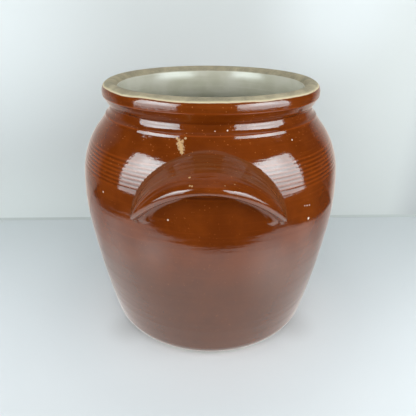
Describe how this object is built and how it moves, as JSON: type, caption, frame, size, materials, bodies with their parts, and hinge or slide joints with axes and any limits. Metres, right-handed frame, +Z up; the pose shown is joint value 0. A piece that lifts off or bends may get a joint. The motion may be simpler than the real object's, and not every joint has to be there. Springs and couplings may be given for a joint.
{
  "type": "confit pot",
  "caption": "Glazed stoneware confit pot with a wide mouth, a rolled rim and hood-shaped lug handles on the shoulder.",
  "frame": {"origin": "middle of the flat foot, on the surface that the pot stands on", "axes": "+Z up through the mouth; the lugs face -Y and +Y; -Y is the side in the picture"},
  "size_m": [0.2739, 0.3182, 0.27],
  "materials": {
    "bare_stoneware": "bare fired stoneware, fine grain, matte",
    "brown_glaze": "glossy honey-brown glaze",
    "liner_glaze": "semi-gloss pale grey-green liner glaze"
  },
  "bodies": {
    "root": {"stoneware_body": "bare_stoneware", "front_lug": "brown_glaze", "rear_lug": "brown_glaze", "brown_glaze": "brown_glaze", "liner_glaze": "liner_glaze"}
  },
  "joints": []
}
